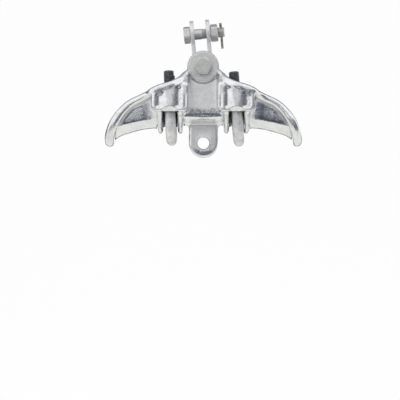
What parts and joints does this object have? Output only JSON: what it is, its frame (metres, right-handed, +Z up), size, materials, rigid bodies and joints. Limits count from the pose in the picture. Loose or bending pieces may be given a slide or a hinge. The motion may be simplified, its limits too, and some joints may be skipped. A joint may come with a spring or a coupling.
{
  "type": "suspension clamp",
  "caption": "Boat-shaped cast suspension clamp for an overhead conductor, with a keeper on U-bolts and a strap hanger on a trunnion bolt.",
  "frame": {"origin": "centre of the conductor seat, on the conductor's axis under the trunnion bolt", "axes": "+X along the conductor, +Y across it towards the trunnion nut, +Z up towards the hanger"},
  "size_m": [0.3, 0.1133, 0.2112],
  "materials": {
    "cast_aluminium": "polished casting with matte pads",
    "keeper_aluminium": "tumbled casting",
    "galvanised_strap": "hot-dip zinc",
    "galvanised_u_bolt": "hot-dip zinc, dark threaded ends",
    "galvanised_nut": "hot-dip zinc",
    "galvanised_washer": "hot-dip zinc",
    "spring_steel": "zinc on spring steel",
    "link_fastener": "dull zinc",
    "trunnion_fastener": "dull zinc",
    "cotter_wire": "dark wire"
  },
  "bodies": {
    "hanger": {"hanger_strap": "galvanised_strap"},
    "link_pin": {"link_bolt": "link_fastener", "link_nut": "link_fastener", "link_cotter_pin": "cotter_wire"},
    "casting": {"clamp_body": "cast_aluminium"},
    "trunnion_pin": {"trunnion_bolt": "trunnion_fastener", "trunnion_nut": "trunnion_fastener", "trunnion_cotter_pin": "cotter_wire"},
    "keeper": {"keeper": "keeper_aluminium"},
    "left_u_bolt": {"u_bolt_left": "galvanised_u_bolt", "nut_left_front": "galvanised_nut", "nut_left_rear": "galvanised_nut", "spring_washer_left_front": "spring_steel", "spring_washer_left_rear": "spring_steel", "flat_washer_left_front": "galvanised_washer", "flat_washer_left_rear": "galvanised_washer"},
    "right_u_bolt": {"u_bolt_right": "galvanised_u_bolt", "nut_right_front": "galvanised_nut", "nut_right_rear": "galvanised_nut", "spring_washer_right_front": "spring_steel", "spring_washer_right_rear": "spring_steel", "flat_washer_right_front": "galvanised_washer", "flat_washer_right_rear": "galvanised_washer"}
  },
  "joints": [
    {"name": "clamp_swing", "type": "hinge", "parent": "hanger", "child": "casting", "pos_m": [0, 0, 0.06], "axis": [0, 1, 0], "range_deg": [-45, 45]},
    {"name": "link_bolt_turn", "type": "hinge", "parent": "hanger", "child": "link_pin", "pos_m": [-0.00466, 0, 0.1133], "axis": [0.9962, 0, 0.0872], "continuous": true},
    {"name": "trunnion_bolt_turn", "type": "hinge", "parent": "casting", "child": "trunnion_pin", "pos_m": [0, 0, 0.06], "axis": [0, 1, 0], "continuous": true},
    {"name": "keeper_lift", "type": "slide", "parent": "casting", "child": "keeper", "axis": [0, 0, 1], "range_m": [0, 0.012]},
    {"name": "left_u_bolt_lift", "type": "slide", "parent": "casting", "child": "left_u_bolt", "axis": [-0.0175, 0, 0.9998], "range_m": [0, 0.012]},
    {"name": "right_u_bolt_lift", "type": "slide", "parent": "casting", "child": "right_u_bolt", "axis": [-0.0393, 0, 0.9992], "range_m": [0, 0.012]}
  ],
  "couplings": [
    {"joint": "left_u_bolt_lift", "follows": "keeper_lift", "ratio": 1},
    {"joint": "right_u_bolt_lift", "follows": "keeper_lift", "ratio": 1}
  ]
}
